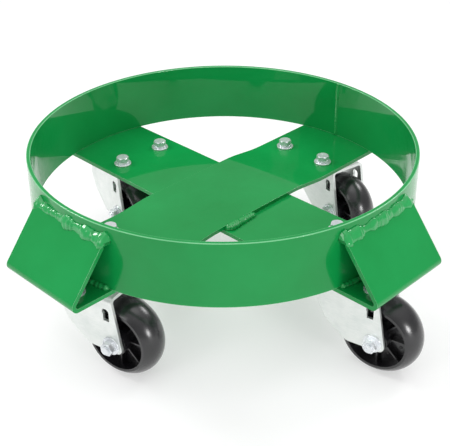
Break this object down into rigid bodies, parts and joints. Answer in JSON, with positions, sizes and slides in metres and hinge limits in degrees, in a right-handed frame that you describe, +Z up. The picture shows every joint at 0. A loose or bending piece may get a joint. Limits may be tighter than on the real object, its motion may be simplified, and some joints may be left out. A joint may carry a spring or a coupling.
{
  "type": "drum dolly",
  "caption": "Round drum dolly: rolled steel ring welded on crossed flat bars with turned-up flaps, bolted to swivel plate casters that turn and roll freely.",
  "frame": {"origin": "on the floor, under the ring's axis", "axes": "+Z up along the ring's axis; the cross bars run along the diagonals between X and Y; the front faces -Y"},
  "size_m": [0.6226, 0.6226, 0.2731],
  "materials": {
    "green_powder_coat": "glossy green powder coat",
    "painted_weld": "weld bead under glossy green powder coat",
    "zinc_plate": "bright zinc plated pressed steel",
    "zinc_fasteners": "zinc plated hardware",
    "bearing_steel": "oiled hardened steel",
    "black_wheel": "glossy black moulded wheel"
  },
  "bodies": {
    "frame": {"ring_band": "green_powder_coat", "ring_seam_weld": "painted_weld", "upper_cross_bar": "green_powder_coat", "lower_cross_bar": "green_powder_coat", "centre_welds": "painted_weld", "ring_welds": "painted_weld", "flap_welds": "painted_weld", "hex_bolts": "zinc_fasteners", "lock_washers": "zinc_fasteners", "flat_washers": "zinc_fasteners", "hex_nuts": "zinc_fasteners", "kingpins": "bearing_steel", "kingpin_nuts": "zinc_fasteners", "lower_races": "bearing_steel", "front_left_plate": "zinc_plate", "front_right_plate": "zinc_plate", "back_left_plate": "zinc_plate", "back_right_plate": "zinc_plate"},
    "front_left_swivel": {"front_left_fork": "zinc_plate", "front_left_balls": "bearing_steel", "front_left_axle_bolt": "zinc_fasteners", "front_left_axle_nut": "zinc_fasteners", "front_left_axle_washers": "zinc_fasteners", "front_left_thrust_washers": "bearing_steel", "front_left_sleeve": "bearing_steel"},
    "front_left_roller": {"front_left_wheel": "black_wheel", "front_left_rollers": "bearing_steel"},
    "front_right_swivel": {"front_right_fork": "zinc_plate", "front_right_balls": "bearing_steel", "front_right_axle_bolt": "zinc_fasteners", "front_right_axle_nut": "zinc_fasteners", "front_right_axle_washers": "zinc_fasteners", "front_right_thrust_washers": "bearing_steel", "front_right_sleeve": "bearing_steel"},
    "front_right_roller": {"front_right_wheel": "black_wheel", "front_right_rollers": "bearing_steel"},
    "back_left_swivel": {"back_left_fork": "zinc_plate", "back_left_balls": "bearing_steel", "back_left_axle_bolt": "zinc_fasteners", "back_left_axle_nut": "zinc_fasteners", "back_left_axle_washers": "zinc_fasteners", "back_left_thrust_washers": "bearing_steel", "back_left_sleeve": "bearing_steel"},
    "back_left_roller": {"back_left_wheel": "black_wheel", "back_left_rollers": "bearing_steel"},
    "back_right_swivel": {"back_right_fork": "zinc_plate", "back_right_balls": "bearing_steel", "back_right_axle_bolt": "zinc_fasteners", "back_right_axle_nut": "zinc_fasteners", "back_right_axle_washers": "zinc_fasteners", "back_right_thrust_washers": "bearing_steel", "back_right_sleeve": "bearing_steel"},
    "back_right_roller": {"back_right_wheel": "black_wheel", "back_right_rollers": "bearing_steel"}
  },
  "joints": [
    {"name": "front_left_swivel_turn", "type": "hinge", "parent": "frame", "child": "front_left_swivel", "pos_m": [-0.18859, -0.18859, 0.1461], "axis": [0, 0, 1], "continuous": true},
    {"name": "front_left_wheel_spin", "type": "hinge", "parent": "front_left_swivel", "child": "front_left_roller", "pos_m": [-0.14497, -0.21691, 0.0635], "axis": [0.5446, 0.8387, 0], "continuous": true},
    {"name": "front_right_swivel_turn", "type": "hinge", "parent": "frame", "child": "front_right_swivel", "pos_m": [0.18859, -0.18859, 0.1461], "axis": [0, 0, 1], "continuous": true},
    {"name": "front_right_wheel_spin", "type": "hinge", "parent": "front_right_swivel", "child": "front_right_roller", "pos_m": [0.2322, -0.21691, 0.0635], "axis": [0.5446, 0.8387, 0], "continuous": true},
    {"name": "back_left_swivel_turn", "type": "hinge", "parent": "frame", "child": "back_left_swivel", "pos_m": [-0.18859, 0.18859, 0.1461], "axis": [0, 0, 1], "continuous": true},
    {"name": "back_left_wheel_spin", "type": "hinge", "parent": "back_left_swivel", "child": "back_left_roller", "pos_m": [-0.15876, 0.14599, 0.0635], "axis": [0.8192, 0.5736, 0], "continuous": true},
    {"name": "back_right_swivel_turn", "type": "hinge", "parent": "frame", "child": "back_right_swivel", "pos_m": [0.18859, 0.18859, 0.1461], "axis": [0, 0, 1], "continuous": true},
    {"name": "back_right_wheel_spin", "type": "hinge", "parent": "back_right_swivel", "child": "back_right_roller", "pos_m": [0.21841, 0.14599, 0.0635], "axis": [0.8192, 0.5736, 0], "continuous": true}
  ]
}
